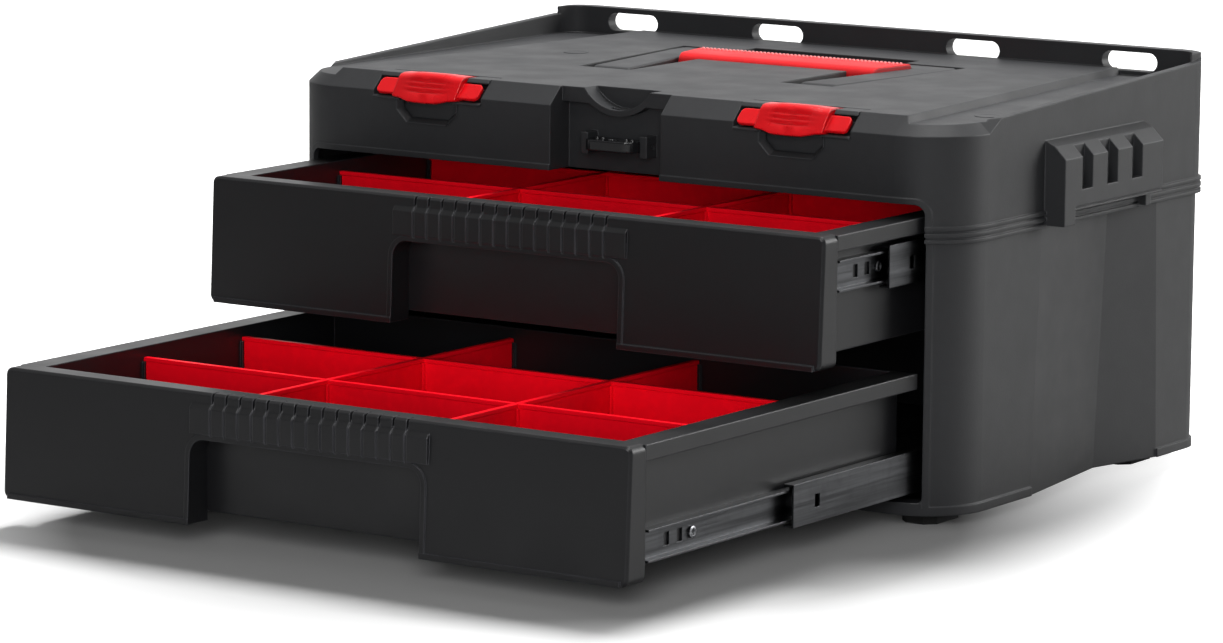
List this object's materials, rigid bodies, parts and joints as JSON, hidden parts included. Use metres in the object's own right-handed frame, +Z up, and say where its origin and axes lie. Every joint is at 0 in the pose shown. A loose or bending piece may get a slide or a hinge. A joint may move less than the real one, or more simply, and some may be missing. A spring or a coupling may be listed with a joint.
{
  "type": "stackable tool box with drawers",
  "caption": "Stackable plastic tool box with full-extension drawers on steel slides, loose-bin dividers, a fold-down carrying handle and module latches.",
  "frame": {"origin": "on the floor, at the middle of the space that the box takes with its drawers open as modelled", "axes": "+X to the right seen from the front, +Y from the drawers to the back wall, +Z up"},
  "size_m": [0.475, 0.5754, 0.237],
  "materials": {
    "charcoal_body": "fine matt moulding grain",
    "feet": "smooth",
    "drawer_front": "satin moulded",
    "tray": "satin moulded",
    "divider": "satin red",
    "slide_steel": "black zinc",
    "ball_cage": "plain",
    "pin_steel": "plain",
    "latch": "satin red",
    "lock_tab": "gloss black",
    "handle_frame": "fine matt moulding grain",
    "handle_grip": "soft red grip"
  },
  "bodies": {
    "cabinet": {"front_left_foot": "feet", "front_right_foot": "feet", "left_handle_pin": "pin_steel", "left_latch_pin": "pin_steel", "lock_pin": "pin_steel", "lower_body": "charcoal_body", "lower_left_cabinet_rail": "slide_steel", "lower_right_cabinet_rail": "slide_steel", "rear_left_foot": "feet", "rear_right_foot": "feet", "right_handle_pin": "pin_steel", "right_latch_pin": "pin_steel", "top_shell": "charcoal_body", "upper_left_cabinet_rail": "slide_steel", "upper_right_cabinet_rail": "slide_steel"},
    "upper_drawer": {"upper_far_centre_divider": "divider", "upper_far_left_divider": "divider", "upper_far_right_divider": "divider", "upper_front": "drawer_front", "upper_left_drawer_rail": "slide_steel", "upper_left_long_divider": "divider", "upper_near_centre_divider": "divider", "upper_near_left_divider": "divider", "upper_near_right_divider": "divider", "upper_right_drawer_rail": "slide_steel", "upper_right_long_divider": "divider", "upper_tray": "tray"},
    "lower_drawer": {"lower_far_centre_divider": "divider", "lower_far_left_divider": "divider", "lower_far_right_divider": "divider", "lower_front": "drawer_front", "lower_left_drawer_rail": "slide_steel", "lower_left_long_divider": "divider", "lower_near_centre_divider": "divider", "lower_near_left_divider": "divider", "lower_near_right_divider": "divider", "lower_right_drawer_rail": "slide_steel", "lower_right_long_divider": "divider", "lower_tray": "tray"},
    "upper_slides": {"upper_left_ball_cages": "ball_cage", "upper_left_middle_rail": "slide_steel", "upper_right_ball_cages": "ball_cage", "upper_right_middle_rail": "slide_steel"},
    "lower_slides": {"lower_left_ball_cages": "ball_cage", "lower_left_middle_rail": "slide_steel", "lower_right_ball_cages": "ball_cage", "lower_right_middle_rail": "slide_steel"},
    "carrying_handle": {"handle_frame": "handle_frame", "handle_grip": "handle_grip"},
    "left_latch": {"left_latch": "latch"},
    "right_latch": {"right_latch": "latch"},
    "lock_tab": {"lock_tab": "lock_tab"}
  },
  "joints": [
    {"name": "upper_drawer_slide", "type": "slide", "parent": "cabinet", "child": "upper_drawer", "axis": [0, -1, 0], "range_m": [-0.096, 0.172]},
    {"name": "lower_drawer_slide", "type": "slide", "parent": "cabinet", "child": "lower_drawer", "axis": [0, -1, 0], "range_m": [-0.276, 0]},
    {"name": "upper_slide_members", "type": "slide", "parent": "cabinet", "child": "upper_slides", "axis": [0, -1, 0], "range_m": [-0.05, 0.09]},
    {"name": "lower_slide_members", "type": "slide", "parent": "cabinet", "child": "lower_slides", "axis": [0, -1, 0], "range_m": [-0.1436, 0]},
    {"name": "handle_pivot", "type": "hinge", "parent": "cabinet", "child": "carrying_handle", "pos_m": [0, 0.1057, 0.2155], "axis": [1, 0, 0], "range_deg": [0, 90]},
    {"name": "left_latch_pivot", "type": "hinge", "parent": "cabinet", "child": "left_latch", "pos_m": [-0.122, 0.0077, 0.2219], "axis": [-1, 0, 0], "range_deg": [0, 60]},
    {"name": "right_latch_pivot", "type": "hinge", "parent": "cabinet", "child": "right_latch", "pos_m": [0.122, 0.0077, 0.2219], "axis": [-1, 0, 0], "range_deg": [0, 60]},
    {"name": "lock_tab_pivot", "type": "hinge", "parent": "cabinet", "child": "lock_tab", "pos_m": [0, 0.006, 0.194], "axis": [1, 0, 0], "range_deg": [0, 45]}
  ],
  "couplings": [
    {"joint": "upper_slide_members", "follows": "upper_drawer_slide", "ratio": 0.52},
    {"joint": "lower_slide_members", "follows": "lower_drawer_slide", "ratio": 0.52}
  ]
}
